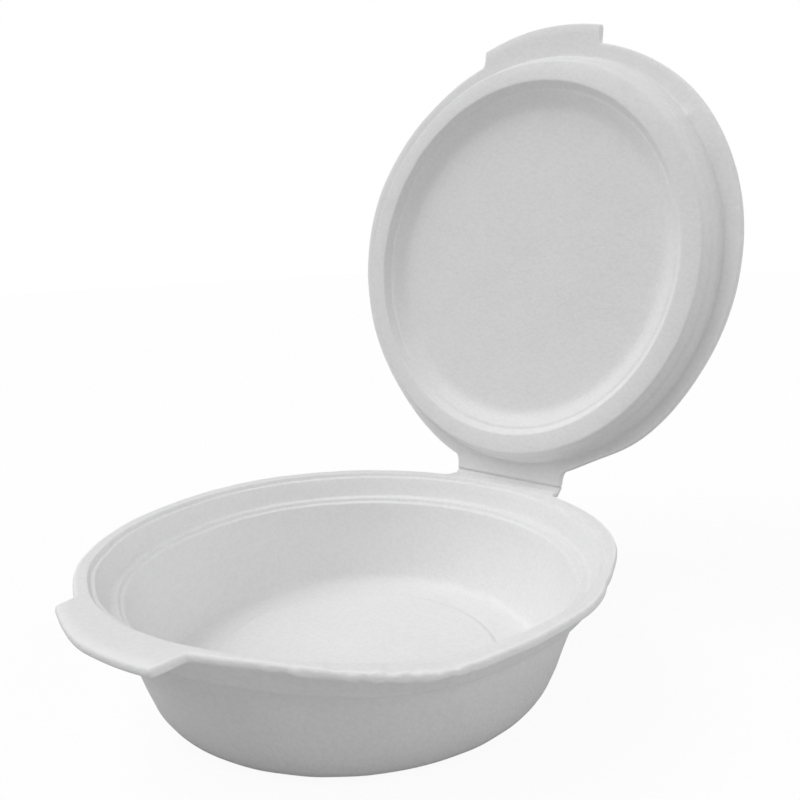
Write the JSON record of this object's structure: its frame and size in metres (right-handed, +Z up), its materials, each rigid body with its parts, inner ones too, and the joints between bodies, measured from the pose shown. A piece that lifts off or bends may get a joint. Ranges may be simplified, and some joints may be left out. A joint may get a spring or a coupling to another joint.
{
  "type": "foam clamshell container",
  "caption": "Round white foam take-away bowl with a hinged lid of the same sheet, standing with the lid swung open.",
  "frame": {"origin": "centre of the bowl's base on the surface it stands on", "axes": "+Z up along the bowl's axis; +Y to the back, where the hinge is; +X to the right of someone facing the open container from its tab side"},
  "size_m": [0.1506, 0.1865, 0.191],
  "materials": {
    "foam": "matt white pressed polystyrene foam with a fine bead grain"
  },
  "bodies": {
    "bowl": {"bowl": "foam"},
    "lid": {"lid": "foam"}
  },
  "joints": [
    {"name": "lid_hinge", "type": "hinge", "parent": "bowl", "child": "lid", "pos_m": [0, 0.0773, 0.03755], "axis": [-1, 0, 0], "range_deg": [-98.5, 81.5]}
  ]
}
